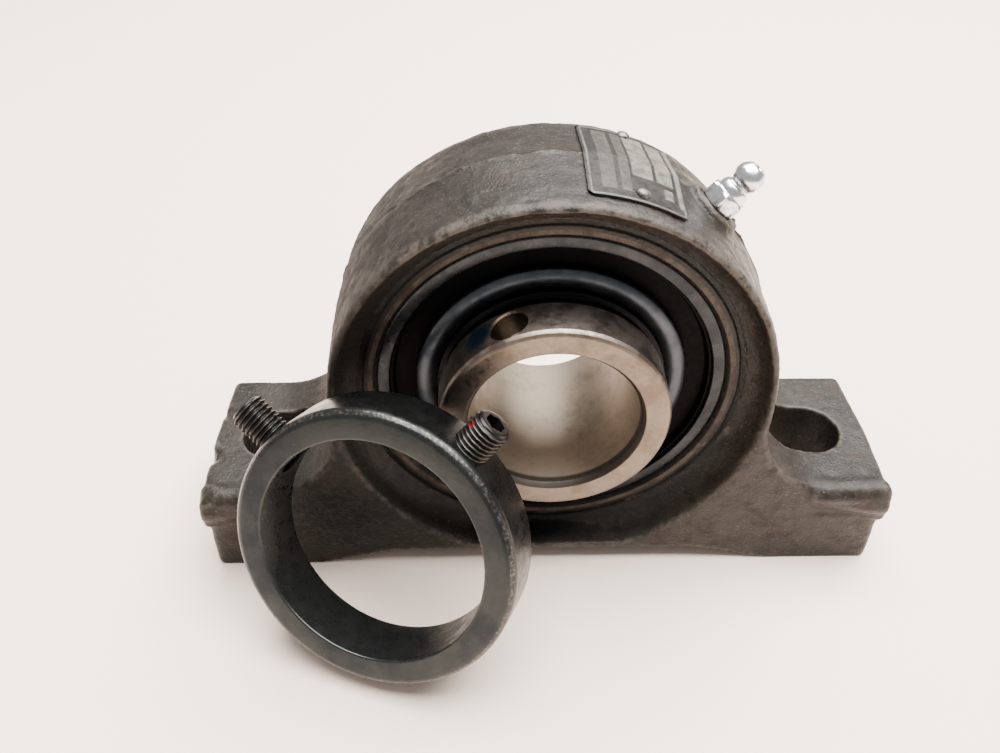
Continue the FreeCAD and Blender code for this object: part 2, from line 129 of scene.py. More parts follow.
def settle(piece, body, solids, material, angle=35):
    """Shade the piece, give it its finish, and let it stand for its solids."""
    only(piece)
    bpy.ops.object.shade_smooth_by_angle(angle=radians(angle))
    piece.data.materials.clear()
    piece.data.materials.append(material)
    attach(piece, body)
    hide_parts(*solids)


on_shaft = Matrix.Translation(shaft_line) @ Matrix.Rotation(radians(-90), 4, "X")

casting = bpy.data.objects.new("housing_casting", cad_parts["housing"].data.copy())
bpy.context.collection.objects.link(casting)
only(casting)
bpy.ops.object.mode_set(mode="EDIT")
bpy.ops.mesh.select_all(action="SELECT")
bpy.ops.mesh.remove_doubles(threshold=0.000001)
bpy.ops.object.mode_set(mode="OBJECT")
skin = casting.modifiers.new("cast_skin", "REMESH")
skin.mode = "VOXEL"
skin.voxel_size = casting_grain
apply_all(casting)

# The sand leaves soft corners, softest at the crown's rims and at the head's front edge
# low down. The machined base and bore stay flat.
def crown_rim(p):
    return hypot(p.x, p.z - shaft_height) > 0.045 and abs(p.y) > 0.0142 and p.z > 0.036


def front_rim(p):
    reach = hypot(p.x, p.z - shaft_height)
    return 0.0438 < reach < 0.0492 and abs(p.y) > 0.0168 and 0.007 < p.z < 0.058


bpy.ops.object.mode_set(mode="EDIT")
pick(lambda p: p.z > 0.0008 and (p - shaft_line).length > seat_reach)
bpy.ops.mesh.vertices_smooth(factor=0.5, repeat=1)
pick(crown_rim)
bpy.ops.mesh.vertices_smooth(factor=0.5, repeat=12)
pick(front_rim)
bpy.ops.mesh.vertices_smooth(factor=0.5, repeat=10)
pick(lambda p: abs(p.x) > 0.0605 and p.y < -0.0160 and p.z > 0.0125)
bpy.ops.mesh.vertices_smooth(factor=0.5, repeat=3)
pick(lambda p: abs(p.x) > 0.0755 and p.y < -0.0140 and p.z > 0.0085)
bpy.ops.mesh.vertices_smooth(factor=0.5, repeat=7)
bpy.ops.object.mode_set(mode="OBJECT")

# Knocks on the left foot: where, how wide and how deep.
chips = [
    ((-0.0806, -0.0072, 0.0239), 0.0034, 0.0011),
    ((-0.0798, -0.0206, 0.0238), 0.003, 0.0009),
    ((-0.0795, 0.0080, 0.0242), 0.0026, 0.0006),
]


def seam_place(p):
    """Distance from the line where the two halves of the mould met."""
    return abs(p.y - 0.0004 - seam_slope * max(0.0, seam_bends_at - p.x))


def as_cast(p):
    """How far the sand pushed the skin in or out at one place."""
    rough = 1.0 if p.z > 0.03 else 0.45
    wave = (noise.noise(p * 170) * 0.00015 + noise.noise(p * 480) * 0.0001) * rough
    grain = noise.noise(p * 1200) * 0.00005
    pits = -0.00045 * rough * max(0.0, noise.noise(p * 420 + Vector((3, 1, 9))) - 0.36)
    flash = 0.0
    if hypot(p.x, p.z - shaft_height) > 0.0472 and p.z > 0.03:
        ragged = 0.75 + noise.noise(Vector((p.x * 240, 3.0, p.z * 240)))
        flash = max(0.0, ragged) * 0.00045 * max(0.0, 1 - seam_place(p) / 0.0007)
    return wave + grain + pits + flash


def foot_edge(p):
    """The thick front edge of a foot: a ridge on top, a round front and a groove below."""
    fade = min(1.0, max(0.0, (abs(p.x) - 0.0608) / 0.004))
    up = 0.0
    out = 0.0
    if p.y < -0.0160 and p.z > 0.0222:
        up = 0.0004 * max(0.0, 1 - ((p.y + 0.0187) / 0.0022) ** 2)
    if p.y < -0.0190 and 0.0172 < p.z < 0.0248:
        out = 0.0007 * max(0.0, 1 - ((p.z - 0.0214) / 0.0036) ** 2)
    if p.y < -0.0190 and 0.0146 < p.z < 0.0178:
        out = -0.0004 * max(0.0, 1 - ((p.z - 0.0163) / 0.0015) ** 2)
    return Vector((0.0, -out, up)) * fade


pushed = []
for vert in casting.data.vertices:
    place = vert.co.copy()
    reach = hypot(place.x, place.z - shaft_height)
    bored = (place - shaft_line).length < seat_reach
    mouth = reach < 0.0422 and 0.0116 < abs(place.y) < 0.0145
    if bored:
        place = shaft_line + (place - shaft_line) * 1.004
    elif mouth:
        place.y -= 0.0007 * (1 if place.y > 0 else -1)
    elif place.z < 0.00025:
        place.z = 0.0
    else:
        outward = vert.normal.copy()
        place += foot_edge(place) + outward * as_cast(place) * min(1.0, place.z / 0.002)
        for middle, width, depth in chips:
            near = 1 - (place - Vector(middle)).length / width
            if near > 0:
                place -= outward * depth * min(1.0, 1.8 * near)
    pushed.extend(place)
casting.data.vertices.foreach_set("co", pushed)
casting.data.update()

thin = casting.modifiers.new("flat_faces_thinned", "DECIMATE")
thin.ratio = 0.46
apply_all(casting)

# The bored mouth at each end is narrow and square-edged, with a turned step beside it.
# At the back it is open left and right, where the insert goes in edgeways.
opening_radius = 0.0401
opening_width = 0.0252
opening_middle = (0, 0.016, shaft_height)
for end in (-1, 1):
    lip = turned(
        "bored_lip",
        [
            (0.0381, 0.0121),
            (lip_inner, lip_face),
            (lip_outer, lip_face),
            (0.0413, 0.01262),
            (0.0425, 0.01256),
            (0.0425, 0.0116),
            (0.0381, 0.0116),
        ],
    )
    soften(lip, 0.00022)
    stand(lip, on_shaft @ Matrix.Scale(end, 4, (0, 0, 1)))
    if end < 0:
        bpy.ops.object.mode_set(mode="EDIT")
        bpy.ops.mesh.select_all(action="SELECT")
        bpy.ops.mesh.normals_make_consistent(inside=False)
        bpy.ops.object.mode_set(mode="OBJECT")
    if end > 0:
        bpy.ops.mesh.primitive_cylinder_add(
            vertices=192, radius=opening_radius, depth=0.02,
            location=opening_middle, rotation=(radians(90), 0, 0),
        )
        opening = bpy.context.object
        bpy.ops.mesh.primitive_cube_add(
            size=opening_width, location=opening_middle, scale=(4, 1, 1)
        )
        gauge = bpy.context.object
        for piece, tool, kind in ((opening, gauge, "INTERSECT"), (lip, opening, "DIFFERENCE")):
            cut = piece.modifiers.new("loading_slot", "BOOLEAN")
            cut.operation = kind
            cut.object = tool
            cut.solver = "EXACT"
            apply_all(piece)
        bpy.data.objects.remove(gauge)
        bpy.data.objects.remove(opening)
    only(casting)
    lip.select_set(True)
    bpy.ops.object.join()


class Finish:
    """A material and the few kinds of node that its look is built from."""

    def __init__(self, name, colour, metallic, roughness):
        self.material = bpy.data.materials.new(name)
        self.material.use_nodes = True
        self.nodes = self.material.node_tree.nodes
        self.links = self.material.node_tree.links
        self.shader = self.nodes["Principled BSDF"]
        self.shader.inputs["Base Color"].default_value = (*colour, 1)
        self.shader.inputs["Metallic"].default_value = metallic
        self.shader.inputs["Roughness"].default_value = roughness
        self.place = self.nodes.new("ShaderNodeTexCoord").outputs["Object"]

    def moved(self, location, rotation):
        """The place measured from a piece's own centre and axis."""
        turn = self.nodes.new("ShaderNodeMapping")
        turn.vector_type = "TEXTURE"
        turn.inputs["Location"].default_value = location
        turn.inputs["Rotation"].default_value = rotation
        self.links.new(self.place, turn.inputs["Vector"])
        return turn.outputs[0]

    def mottle(self, scale, detail=4, rough=0.6, place=None, stretch=None):
        """Cloudy patches of a size of about 1 / scale metres."""
        cloud = self.nodes.new("ShaderNodeTexNoise")
        cloud.inputs["Scale"].default_value = scale
        cloud.inputs["Detail"].default_value = detail
        cloud.inputs["Roughness"].default_value = rough
        source = place or self.place
        if stretch:
            pull = self.nodes.new("ShaderNodeMapping")
            pull.inputs["Scale"].default_value = stretch
            self.links.new(source, pull.inputs["Vector"])
            source = pull.outputs[0]
        self.links.new(source, cloud.inputs["Vector"])
        return cloud.outputs["Fac"]

    def maths(self, kind, a, b=0.0, c=0.0):
        """One step of arithmetic on what is measured."""
        step = self.nodes.new("ShaderNodeMath")
        step.operation = kind
        for socket, value in zip(step.inputs, (a, b, c)):
            if isinstance(value, (int, float)):
                socket.default_value = value
            else:
                self.links.new(value, socket)
        return step.outputs[0]

    def times(self, share, *others):
        """Shares multiplied together."""
        for other in others:
            share = self.maths("MULTIPLY", share, other)
        return share

    def between(self, value, low, high, out_low=0.0, out_high=1.0):
        """A smooth share from 0 to 1 as a value goes from low to high."""
        span = self.nodes.new("ShaderNodeMapRange")
        span.interpolation_type = "SMOOTHSTEP"
        self.links.new(value, span.inputs["Value"])
        ends = (low, high, out_low, out_high)
        for name, end in zip(("From Min", "From Max", "To Min", "To Max"), ends):
            span.inputs[name].default_value = end
        return span.outputs[0]

    def blend(self, share, under, over):
        """One colour over another by a share."""
        mix = self.nodes.new("ShaderNodeMix")
        mix.data_type = "RGBA"
        self.links.new(share, mix.inputs["Factor"])
        for socket, colour in ((mix.inputs[6], under), (mix.inputs[7], over)):
            if isinstance(colour, tuple):
                socket.default_value = (*colour, 1)
            else:
                self.links.new(colour, socket)
        return mix.outputs[2]

    def near(self, spot, radius, place=None):
        """1 at a spot and 0 from a distance on."""
        reach = self.nodes.new("ShaderNodeVectorMath")
        reach.operation = "DISTANCE"
        self.links.new(place or self.place, reach.inputs[0])
        reach.inputs[1].default_value = spot
        return self.between(reach.outputs["Value"], radius, radius * 0.35)

    def radius_and_height(self, place=None):
        """Distance from the shaft line and the place along it."""
        split = self.nodes.new("ShaderNodeSeparateXYZ")
        self.links.new(place or self.place, split.inputs[0])
        if place:
            a, b, along = split.outputs
        else:
            a, along, b = split.outputs
            b = self.maths("SUBTRACT", b, shaft_height)
        square = self.maths("MULTIPLY", a, a)
        square = self.maths("MULTIPLY_ADD", b, b, square)
        return self.maths("SQRT", square), along

    def colour(self, value):
        self.links.new(value, self.shader.inputs["Base Color"])

    def rough(self, value):
        self.links.new(value, self.shader.inputs["Roughness"])

    def bump(self, height, depth, strength=1.0):
        """Relief of a depth in metres, added to what is there."""
        relief = self.nodes.new("ShaderNodeBump")
        relief.inputs["Distance"].default_value = depth
        relief.inputs["Strength"].default_value = strength
        self.links.new(height, relief.inputs["Height"])
        socket = self.shader.inputs["Normal"]
        if socket.is_linked:
            self.links.new(socket.links[0].from_socket, relief.inputs["Normal"])
        self.links.new(relief.outputs[0], socket)


iron = Finish("oiled_cast_iron", (0.04, 0.036, 0.032), 0.0, 0.5)
iron.shader.inputs["Specular IOR Level"].default_value = 0.2
r, y = iron.radius_and_height()
off_middle = iron.maths("ABSOLUTE", y)
split = iron.nodes.new("ShaderNodeSeparateXYZ")
iron.links.new(iron.place, split.inputs[0])
across = split.outputs[0]
height = split.outputs[2]
stain = iron.mottle(38, 5, 0.65)
patch = iron.mottle(260, 6, 0.7)
grit = iron.mottle(1500, 3, 0.6)
dark_skin = (0.0075, 0.0062, 0.005)
pale_skin = (0.0215, 0.018, 0.0148)
skin_colour = iron.blend(iron.between(stain, 0.36, 0.64), dark_skin, pale_skin)
skin_colour = iron.blend(iron.between(patch, 0.48, 0.7), skin_colour, (0.0075, 0.0054, 0.004))
rust = iron.times(iron.between(iron.mottle(85, 5, 0.75), 0.54, 0.7), 0.6)
skin_colour = iron.blend(rust, skin_colour, (0.024, 0.0115, 0.006))
skin_colour = iron.blend(iron.between(grit, 0.6, 0.74), skin_colour, (0.07, 0.06, 0.05))

# A pitted, darker place low on the left of the front, with oil round it.
pitted = iron.near((-0.0500, -0.021, 0.0165), 0.0155)
pitted = iron.times(pitted, iron.between(iron.mottle(620, 5, 0.75), 0.44, 0.56))
oiled = iron.times(iron.near((-0.044, -0.021, 0.024), 0.034), 0.7)
skin_colour = iron.blend(oiled, skin_colour, (0.0105, 0.011, 0.0092))
skin_colour = iron.blend(pitted, skin_colour, (0.0012, 0.0012, 0.001))

# Green-black oil lies in the lower part of the valley round the bore, and rust in its top.
spread = iron.times(iron.between(r, 0.0456, 0.0420), iron.between(height, 0.045, 0.028))
valley = iron.maths("MAXIMUM", spread, iron.between(r, 0.0446, 0.0422))
valley = iron.times(valley, iron.between(r, 0.0398, 0.0402))
valley = iron.times(valley, iron.between(off_middle, 0.0192, 0.0168))
rusty = iron.blend(iron.between(patch, 0.4, 0.6), (0.02, 0.0145, 0.0105), (0.009, 0.0062, 0.0045))
oily = iron.blend(iron.between(height, 0.095, 0.084), rusty, (0.0038, 0.0054, 0.0051))
skin_colour = iron.blend(iron.times(valley, 0.93), skin_colour, oily)

# The left side of the crown is painted darker as shade, and is rougher there.
left_crown_shade = iron.times(iron.near((-0.05, 0.0, 0.068), 0.042), 0.85)
skin_colour = iron.blend(left_crown_shade, skin_colour, (0.0052, 0.0043, 0.0034))

# High edges are rubbed bright and grainy outside the painted shade on the left, and the crown's
# top rims get a painted highlight, grainy in patches.
off_left_shade = iron.maths("SUBTRACT", 1.0, left_crown_shade)
# Painted highlight along the top of the crown's front and rear rims.
rim_highlight_and_wear = iron.times(iron.between(off_middle, 0.0152, 0.0168), iron.between(r, 0.0462, 0.047))
rim_highlight_and_wear = iron.times(rim_highlight_and_wear, iron.between(height, 0.06, 0.08), iron.between(patch, 0.42, 0.62), off_left_shade)
skin_colour = iron.blend(iron.times(rim_highlight_and_wear, 0.6), skin_colour, (0.08, 0.067, 0.055))
edge = iron.nodes.new("ShaderNodeNewGeometry").outputs["Pointiness"]
worn = iron.times(iron.between(edge, 0.506, 0.535), iron.between(patch, 0.38, 0.56), off_left_shade)
skin_colour = iron.blend(iron.times(worn, 0.6), skin_colour, (0.085, 0.074, 0.063))

# A dark line runs along the flash of the mould's seam.
bend = iron.maths("MAXIMUM", iron.maths("SUBTRACT", seam_bends_at, across), 0.0)
off_seam = iron.maths("SUBTRACT", iron.maths("SUBTRACT", y, 0.0008), iron.times(bend, seam_slope))
ragged = iron.maths("MULTIPLY_ADD", iron.mottle(520, 3, 0.6), 0.0011, -0.00055)
off_seam = iron.maths("ABSOLUTE", iron.maths("ADD", off_seam, ragged))
seam_dark = iron.times(iron.between(off_seam, 0.00042, 0.00018), iron.between(r, 0.0468, 0.0475))
seam_dark = iron.times(seam_dark, iron.between(height, 0.05, 0.06))
skin_colour = iron.blend(seam_dark, skin_colour, (0.0035, 0.003, 0.0026))

# The bored lip is brown with thin rust, and its chamfer beside the gap to the outer ring is
# painted near-black as shade.
near_face = iron.between(off_middle, 0.0112, 0.0118)
lip_band = iron.times(iron.between(r, 0.0402, 0.03995), iron.between(r, 0.0378, 0.0382), near_face)
lip_rust = iron.between(patch, 0.4, 0.62)
lip_colour = iron.blend(lip_rust, (0.05, 0.037, 0.028), (0.022, 0.0145, 0.01))
lip_colour = iron.blend(iron.between(r, 0.0391, 0.0389), lip_colour, (0.002, 0.002, 0.002))
skin_colour = iron.blend(lip_band, skin_colour, lip_colour)
iron.colour(skin_colour)
dryness = iron.between(patch, 0.3, 0.7, 0.32, 0.54)
iron.rough(iron.maths("MULTIPLY_ADD", left_crown_shade, 0.3, dryness))
iron.bump(grit, 0.00026, 0.6)
iron.bump(patch, 0.0007, 0.4)
settle(casting, "housing", ["housing"], iron.material, 60)


# Nameplate. A thin etched sheet, bent over the crown and held by a drive screw at each
# end. Its border and fields stand a little proud of the dark ground. It is left blank.
plate_low = 60.6
plate_high = 84.6
plate_depth = 0.0144
plate_thick = 0.0007
plate_corner = 0.0016
crown_middle = 0.04964


def on_crown(angle, y, lift):
    """A point on the drafted crown, raised off it: its circle shrinks and sinks
    towards the front and the rear."""
    share = abs(y) / 0.0224
    r = 0.0487 - 0.0004 * share + lift
    up = 0.00094 - 0.00174 * share
    reach = up * sin(angle) + sqrt(r * r - (up * cos(angle)) ** 2)
    return Vector((reach * cos(angle), y, shaft_height + reach * sin(angle)))


plate_half = radians(plate_high - plate_low) / 2 * crown_middle
plate_middle = radians(plate_high + plate_low) / 2
bars = [(-0.0075, -0.0045, -0.0115, 0.0125), (-0.0034, -0.0015, -0.0115, 0.0125)]
fields = [(-0.0008, 0.0035, -0.0055, 0.0122), (0.0042, 0.0078, -0.0055, 0.0122)]
fields += [(0.0055, 0.0075, -0.0105, -0.007), (0.0086, 0.0094, -0.012, 0.0125)]
bpy.ops.mesh.primitive_grid_add(
    x_subdivisions=104, y_subdivisions=144, size=2, location=(0, 0, 0), enter_editmode=True
)
bpy.ops.transform.resize(value=(plate_half, plate_depth, 1))
bpy.ops.object.mode_set(mode="OBJECT")
plate = bpy.context.object
plate.name = "blank_nameplate"
bpy.ops.object.transform_apply(location=True, rotation=True, scale=True)


def plate_relief(across, along):
    """Height of the etched pattern at one place on the flat plate."""
    margin = min(plate_half - abs(across), plate_depth - abs(along))
    if 0.0004 < margin < 0.0008:
        return 0.8
    for left, right, low, high in fields:
        if left < across < right and low < along < high:
            return 1.0
    for left, right, low, high in bars:
        if left < across < right and low < along < high:
            return 0.35
    return 0.0


raised = plate.data.attributes.new("raised", "FLOAT", "POINT")
for vert in plate.data.vertices:
    across, along = vert.co.x, vert.co.y
    corner = Vector((plate_half - plate_corner, plate_depth - plate_corner))
    over = Vector((abs(across), abs(along))) - corner
    if over.x > 0 and over.y > 0 and over.length > plate_corner:
        over = over.normalized() * plate_corner
        across = (corner.x + over.x) * (1 if across > 0 else -1)
        along = (corner.y + over.y) * (1 if along > 0 else -1)
    proud = plate_relief(across, along)
    raised.data[vert.index].value = proud
    lift = plate_thick - 0.0001 + 0.0001 * proud + noise.noise(vert.co * 300) * 0.00006
    vert.co = on_crown(plate_middle - across / crown_middle, along, lift)
sheet = plate.modifiers.new("sheet", "SOLIDIFY")
sheet.thickness = plate_thick - 0.00012
sheet.offset = -1
apply_all(plate)
only(plate)
bpy.ops.object.mode_set(mode="EDIT")
bpy.ops.mesh.select_all(action="SELECT")
bpy.ops.mesh.normals_make_consistent(inside=False)
bpy.ops.object.mode_set(mode="OBJECT")

etched = Finish("etched_plate", (0.03, 0.028, 0.026), 0.0, 0.42)
etched.shader.inputs["Specular IOR Level"].default_value = 0.25
proud_share = etched.nodes.new("ShaderNodeAttribute")
proud_share.attribute_name = "raised"
tarnish = etched.mottle(420, 5, 0.7)
darkened = etched.between(tarnish, 0.42, 0.65)
ground = etched.blend(darkened, (0.0105, 0.0095, 0.0082), (0.02, 0.0175, 0.0148))
dulled = etched.between(tarnish, 0.42, 0.6)
worn_field = etched.blend(dulled, (0.125, 0.126, 0.105), (0.062, 0.06, 0.05))
etched.colour(etched.blend(proud_share.outputs["Fac"], ground, worn_field))
etched.rough(etched.between(etched.mottle(900, 3), 0.35, 0.65, 0.3, 0.5))
etched.bump(etched.mottle(1400, 3), 0.0001, 0.5)
settle(plate, "housing", ["nameplate"], etched.material, 40)


# Drive screws. Two steel pins with round heads, hammered through the plate into the
# crown; their heads have rubbed dull.
rivet_spots = [(71.9, -0.0114), (72.8, 0.013)]


def facing(spot, way):
    """The place of a round piece whose axis runs along a direction."""
    return Matrix.Translation(spot) @ way.to_track_quat("Z", "Y").to_matrix().to_4x4()


dull_steel = Finish("dull_steel", (0.12, 0.11, 0.1), 0.8, 0.4)
spots = dull_steel.mottle(1100, 4, 0.7)
rusted = dull_steel.between(spots, 0.42, 0.64)
dull_steel.colour(dull_steel.blend(rusted, (0.17, 0.16, 0.15), (0.045, 0.035, 0.028)))
dull_steel.bump(spots, 0.0001, 0.5)
heads = []
for angle, along in rivet_spots:
    head = turned(
        "drive_screw",
        [(0.0008, -0.0003), (0.0015, -0.0003), (0.0015, 0.0001), (0.0013, 0.0005)]
        + [(0.0009, 0.00075), (0.0005, 0.00086), (0.00005, 0.0009), (0.00005, -0.0003)],
        48,
    )
    way = Vector((cos(radians(angle)), 0, sin(radians(angle))))
    spot = on_crown(radians(angle), along, plate_thick - 0.00005)
    stand(head, facing(spot, way))
    heads.append(head)
only(heads[0])
heads[1].select_set(True)
bpy.ops.object.join()
settle(heads[0], "housing", ["nameplate_rivets"], dull_steel.material, 50)


# Grease fitting. A straight zinc-plated fitting screwed into the crown at a slant: a
# hexagon for the spanner, a neck, and a ball head for the grease gun, with a spring
# behind its check ball.
fitting_angle = radians(49)
hex_flats = 0.00794
slant = Matrix.Rotation(radians(90) - fitting_angle, 4, "Y")
on_fitting = Matrix.Translation(shaft_line) @ slant

fitting_base = 0.05044
shank = [(0.0014, -0.0066), (0.0029, -0.0066), (0.0031, -0.006), (0.0031, 0.0)]
shank += [(0.0037, 0.0)]
hexagon = [(0.0041, 0.0), (0.0047, 0.0005), (0.0047, 0.0029), (0.0039, 0.0035)]
hexagon += [(0.0033, 0.0035)]
neck = [(0.0033, 0.0038), (0.00325, 0.0044), (0.0029, 0.0052), (0.00235, 0.0056)]
neck += [(0.00235, 0.0059)]
head = [(0.0027, 0.0063), (0.00303, 0.0069), (0.0032, 0.0075), (0.00325, 0.0081)]
head += [(0.00318, 0.0087), (0.00298, 0.0093), (0.0026, 0.0098), (0.0023, 0.0102)]
head += [(0.0019, 0.0106), (0.0015, 0.0107)]
head += [(0.0009, 0.0106), (0.00075, 0.0102), (0.00075, 0.0097), (0.0014, 0.0088)]
fitting = turned(
    "fitting_body",
    [(width, fitting_base + height) for width, height in shank + hexagon + neck + head],
    96,
)
only(fitting)
bpy.ops.object.mode_set(mode="EDIT")
pick(lambda p: -0.0001 < p.z - fitting_base < 0.0036 and hypot(p.x, p.y) > 0.0036)
mesh = bmesh.from_edit_mesh(fitting.data)
for vert in mesh.verts:
    if vert.select:
        angle = atan2(vert.co.y, vert.co.x) % (pi / 3) - pi / 6
        flat = hex_flats / 2 / cos(angle)
        reach = hypot(vert.co.x, vert.co.y)
        trim = min(1.0, flat / reach)
        vert.co.x *= trim
        vert.co.y *= trim
bmesh.update_edit_mesh(fitting.data)
bpy.ops.mesh.select_all(action="SELECT")
bpy.ops.mesh.remove_doubles(threshold=0.000002)
bpy.ops.object.mode_set(mode="OBJECT")
soften(fitting, 0.00014, 30)
stand(fitting, on_fitting)
zinc = Finish("bright_zinc", (0.72, 0.73, 0.75), 1.0, 0.2)
cloud = zinc.mottle(700, 4, 0.6)
zinc.colour(zinc.blend(zinc.between(cloud, 0.45, 0.7), (0.74, 0.76, 0.79), (0.46, 0.475, 0.5)))
zinc.rough(zinc.between(cloud, 0.35, 0.65, 0.16, 0.3))
zinc.bump(zinc.mottle(2200, 2), 0.00003, 0.5)
settle(fitting, "housing", ["grease_fitting_body"], zinc.material, 32)


def dress(name, material):
    """Give a piece that keeps the solid's own form its finish."""
    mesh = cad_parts[name].data
    mesh.materials.clear()
    mesh.materials.append(material)


polished = Finish("polished_ball", (0.75, 0.75, 0.75), 1.0, 0.1)
haze = polished.mottle(900, 3)
polished.rough(polished.between(haze, 0.4, 0.7, 0.07, 0.16))
wire = Finish("drawn_wire", (0.42, 0.42, 0.41), 1.0, 0.35)
wire.rough(wire.between(wire.mottle(3000, 2), 0.4, 0.6, 0.3, 0.42))
dress("grease_fitting_ball", polished.material)
dress("grease_fitting_spring", wire.material)


# Outer ring. Hardened steel, ground round on the outside so that it can tilt in the
# housing; oil has darkened its faces to an even grey.
ring_half_width = 0.0122
sphere = 0.04
recess = 0.03544
groove_radius = 0.00655
outer_groove_middle = 0.02983
arc = []
for i in range(13):
    along = ring_half_width * (1 - i / 6)
    arc.append((sqrt(sphere * sphere - along * along), along))
ball_track = []
for i in range(21):
    along = 0.00505 * (i / 10 - 1)
    ball_track.append((outer_groove_middle + sqrt(groove_radius**2 - along * along), along))
outer = turned(
    "outer_ring_ground",
    arc + [(recess, -ring_half_width), (recess, -0.008), (0.034, -0.008)] + ball_track
    + [(0.034, 0.008), (recess, 0.008), (recess, ring_half_width)],
)
soften(outer, 0.00035)
stand(outer, on_shaft)
dark_steel = Finish("oiled_ring_steel", (0.1, 0.1, 0.1), 0.85, 0.3)
film = dark_steel.between(dark_steel.mottle(130, 4, 0.55), 0.35, 0.65)
dark_steel.colour(dark_steel.blend(film, (0.028, 0.03, 0.0325), (0.014, 0.016, 0.0185)))
dark_steel.rough(dark_steel.between(dark_steel.mottle(600, 3), 0.35, 0.65, 0.24, 0.38))
dark_steel.bump(dark_steel.mottle(1800, 2), 0.00003, 0.5)
settle(outer, "outer_ring", ["outer_ring"], dark_steel.material, 30)


# Inner ring. Ground bearing steel, longer at the front where the collar goes over it,
# with two holes for the collar's screws. The end is warm silver and finely pitted, and
# the bore is brushed and stained.
bore = 0.018256
ring_outside = 0.02455
ring_front = -0.02483
ring_rear = 0.01825
screw_hole = 0.0042
inner_groove_middle = 0.03017


def drill(piece, spot, way, radius, depth):
    """Drill a straight hole through the wall of a piece."""
    bpy.ops.mesh.primitive_cylinder_add(vertices=64, radius=radius, depth=depth)
    bit = bpy.context.object
    bit.matrix_world = facing(spot, way)
    hole = piece.modifiers.new("drilled_hole", "BOOLEAN")
    hole.object = bit
    hole.solver = "EXACT"
    apply_all(piece)
    bpy.data.objects.remove(bit)


inner_track = []
for i in range(21):
    along = 0.0052 * (i / 10 - 1)
    inner_track.append((inner_groove_middle - sqrt(groove_radius**2 - along * along), along))
inner = turned(
    "inner_ring_ground",
    [(bore, ring_front + 0.0012), (bore + 0.0009, ring_front)]
    + [(ring_outside - 0.0012, ring_front), (ring_outside - 0.0005, ring_front + 0.0003)]
    + [(ring_outside, ring_front + 0.0011)]
    + [(ring_outside, -0.0205), (ring_outside, -0.0146)]
    + [(0.0239, -0.0143), (0.0239, -0.0122), (0.025, -0.0119), (0.025, -0.0092)]
    + [(0.0262, -0.0092)] + inner_track + [(0.0262, 0.0092)]
    + [(0.025, 0.0092), (0.025, 0.0119), (ring_outside, 0.0122)]
    + [(ring_outside, ring_rear - 0.0006), (ring_outside - 0.0006, ring_rear)]
    + [(bore + 0.0008, ring_rear), (bore, ring_rear - 0.0009), (bore, 0.0)],
)
soften(inner, 0.00012, 20)
stand(inner, on_shaft)
for angle in (114, 204):
    way = Vector((cos(radians(angle)), 0, sin(radians(angle))))
    drill(inner, shaft_line + way * 0.0215 + Vector((0, -0.0196, 0)), way, screw_hole, 0.012)

bright = Finish("ground_bearing_steel", (0.6, 0.53, 0.46), 1.0, 0.36)
r, y = bright.radius_and_height()
lathe_marks = bright.mottle(900, 3, 0.6, stretch=(1.0, 9.0, 1.0))
warm = bright.mottle(150, 5, 0.7)
speck = bright.between(bright.mottle(1700, 2, 0.5), 0.68, 0.76)
warmth = bright.between(warm, 0.4, 0.66)
tone = bright.blend(warmth, (0.165, 0.136, 0.108), (0.118, 0.095, 0.074))
# Painted dark reflection on the upper left of the turned end face.
painted_dark_reflection = bright.times(bright.near((-0.0225, ring_front, 0.0535), 0.023), 0.85)
tone = bright.blend(painted_dark_reflection, tone, (0.045, 0.041, 0.038))

# The bore is stained, and dark in its mouth.
in_bore = bright.between(r, bore + 0.0011, bore + 0.0007)
cloudy = bright.between(bright.mottle(85, 6, 0.75), 0.45, 0.68)
stained = bright.blend(cloudy, (0.25, 0.21, 0.165), (0.17, 0.139, 0.105))
mouth = bright.between(y, ring_front + 0.003, ring_front + 0.0022)
stained = bright.blend(mouth, stained, (0.05, 0.044, 0.039))
tone = bright.blend(in_bore, tone, stained)

# The outside has an oil film with a blue mark; behind the collar's seat, in the gap before the
# flinger, it is painted black as shade.
outside = bright.between(y, ring_front + 0.0002, ring_front + 0.0007)
outside = bright.times(bright.between(r, 0.0235, 0.0238), outside)
film = bright.between(warm, 0.42, 0.62)
film = bright.blend(film, (0.25, 0.215, 0.188), (0.115, 0.096, 0.084))
film = bright.blend(bright.near((-0.0159, -0.0185, 0.0675), 0.0045), film, (0.02, 0.055, 0.11))
film = bright.blend(bright.between(y, -0.0153, -0.0148), film, (0.008, 0.008, 0.009))
tone = bright.blend(outside, tone, film)
tone = bright.blend(bright.times(speck, 0.35), tone, (0.1, 0.08, 0.062))

# The walls of the screw holes are painted dark as shade.
past_bore = bright.between(r, bore + 0.0003, bore + 0.0009)
hole_shade = bright.times(past_bore, bright.between(r, 0.0241, 0.0238))
hole_shade = bright.times(hole_shade, bright.between(y, ring_front + 0.0008, ring_front + 0.001))
hole_shade = bright.times(hole_shade, bright.between(y, -0.0125, -0.0145))
tone = bright.blend(hole_shade, tone, (0.018, 0.0145, 0.011))
bright.colour(tone)
brushed = bright.between(lathe_marks, 0.3, 0.7, 0.32, 0.5)
bright.rough(bright.maths("MULTIPLY_ADD", in_bore, 0.1, brushed))
bright.bump(lathe_marks, 0.00005, 0.5)
settle(inner, "inner_ring", ["inner_ring"], bright.material, 30)


# Balls and cage. Nine polished balls run between the rings, kept apart by two pressed
# steel halves riveted together. They are sealed in and keep the solids' own forms.
pressed = Finish("pressed_steel", (0.46, 0.46, 0.44), 1.0, 0.36)
pressed.rough(pressed.between(pressed.mottle(500, 4), 0.35, 0.65, 0.3, 0.45))
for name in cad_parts:
    if name.startswith("ball_"):
        dress(name, polished.material)
    if name.startswith("cage_"):
        dress(name, pressed.material)


